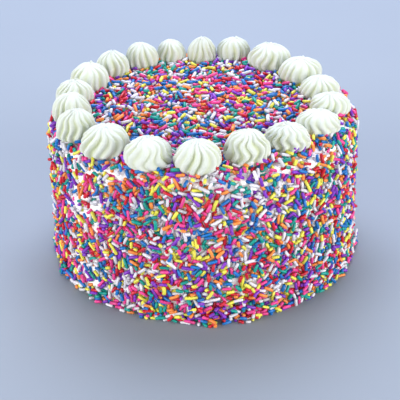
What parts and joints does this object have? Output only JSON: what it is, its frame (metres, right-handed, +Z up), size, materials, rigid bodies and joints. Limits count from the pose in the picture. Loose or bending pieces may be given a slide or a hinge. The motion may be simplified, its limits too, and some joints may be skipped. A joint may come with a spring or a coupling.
{
  "type": "sprinkle cake",
  "caption": "Tall round frosted layer cake covered in rod sprinkles, with a ring of star-piped cream dollops round the top; a whole celebration dessert to set on a table or stand.",
  "frame": {"origin": "middle of the cake's flat base, on the surface that it stands on", "axes": "+Z up through the middle of the cake, -Y towards the side that the picture shows, +X to that side's right"},
  "size_m": [0.2051, 0.2065, 0.1192],
  "materials": {
    "frosting": "white buttercream, satin, slightly soft and translucent, pressed full of rod sprinkles",
    "cream": "whipped buttercream piped through a star tip, off-white with a faint yellow-green tint, satin",
    "sprinkle_white": "sugar rod sprinkle, white, satin glaze",
    "sprinkle_red": "sugar rod sprinkle, red, satin glaze",
    "sprinkle_pink": "sugar rod sprinkle, pink, satin glaze",
    "sprinkle_orange": "sugar rod sprinkle, orange, satin glaze",
    "sprinkle_yellow": "sugar rod sprinkle, yellow, satin glaze",
    "sprinkle_green": "sugar rod sprinkle, teal green, satin glaze",
    "sprinkle_blue": "sugar rod sprinkle, blue, satin glaze",
    "sprinkle_purple": "sugar rod sprinkle, purple, satin glaze"
  },
  "bodies": {
    "root": {"cake": "frosting", "dollop_01": "cream", "dollop_02": "cream", "dollop_03": "cream", "dollop_04": "cream", "dollop_05": "cream", "dollop_06": "cream", "dollop_07": "cream", "dollop_08": "cream", "dollop_09": "cream", "dollop_10": "cream", "dollop_11": "cream", "dollop_12": "cream", "dollop_13": "cream", "dollop_14": "cream", "dollop_15": "cream", "dollop_16": "cream", "dollop_17": "cream", "dollop_18": "cream", "dollop_19": "cream"}
  },
  "joints": []
}
